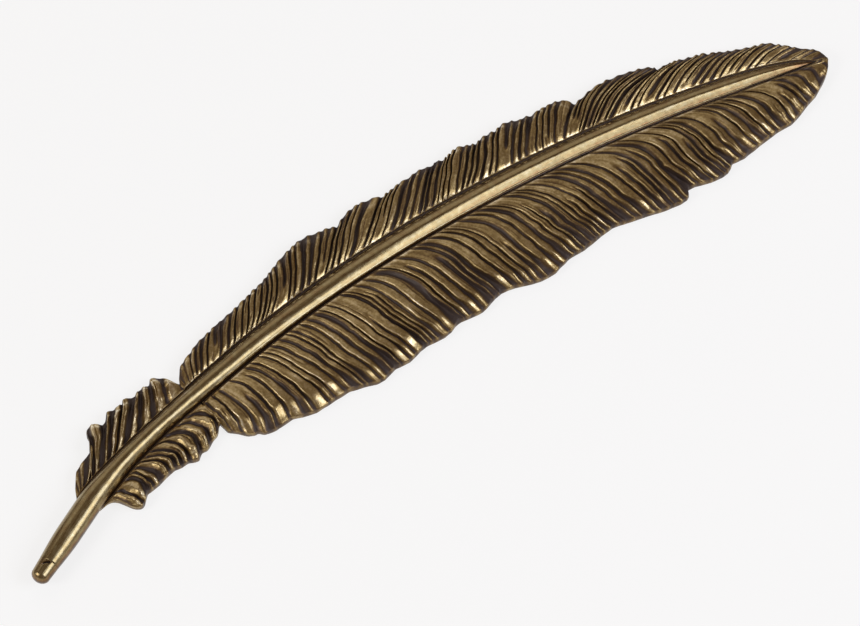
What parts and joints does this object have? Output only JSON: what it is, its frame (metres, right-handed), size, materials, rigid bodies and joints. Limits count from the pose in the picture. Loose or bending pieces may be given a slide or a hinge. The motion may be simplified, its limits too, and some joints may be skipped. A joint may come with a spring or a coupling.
{
  "type": "feather pen",
  "caption": "Feather-shaped metal quill pen: a carved feather on a round quill with a slip-on tip cap over a short ballpoint refill.",
  "frame": {"origin": "bottom centre of the whole object's box, on the flat back's plane", "axes": "+X along the feather from the quill end to the vane tip, +Y towards the narrow vane, +Z out of the carved front"},
  "size_m": [0.2086, 0.0418, 0.0053],
  "materials": {
    "antique_brass_polished": "hand-polished antique brass, dark patina left in the grooves",
    "antique_brass_patina": "cast brass, darkened in the hollows and rubbed bright on the ridges",
    "seal_rubber": "soft moulded rubber",
    "bush_plastic": "natural moulded plastic",
    "nickel_plated_brass": "nickel plate",
    "ink_paste": "wet blue-black paste",
    "ball_steel": "lapped ball"
  },
  "bodies": {
    "feather": {"quill_barrel": "antique_brass_polished", "rachis": "antique_brass_polished", "upper_vane": "antique_brass_patina", "lower_vane": "antique_brass_patina", "upper_afterfeather": "antique_brass_patina", "lower_afterfeather": "antique_brass_patina", "refill_bush": "bush_plastic"},
    "refill": {"refill_tube": "nickel_plated_brass", "refill_ink": "ink_paste", "refill_point": "nickel_plated_brass", "writing_ball": "ball_steel"},
    "cap": {"tip_cap": "antique_brass_polished", "cap_seal": "seal_rubber"}
  },
  "joints": [
    {"name": "refill_slide", "type": "slide", "parent": "feather", "child": "refill", "axis": [-0.9178, -0.3971, 0], "range_m": [0, 0.026]},
    {"name": "cap_slide", "type": "slide", "parent": "refill", "child": "cap", "axis": [-0.9178, -0.3971, 0], "range_m": [0, 0.008]}
  ]
}
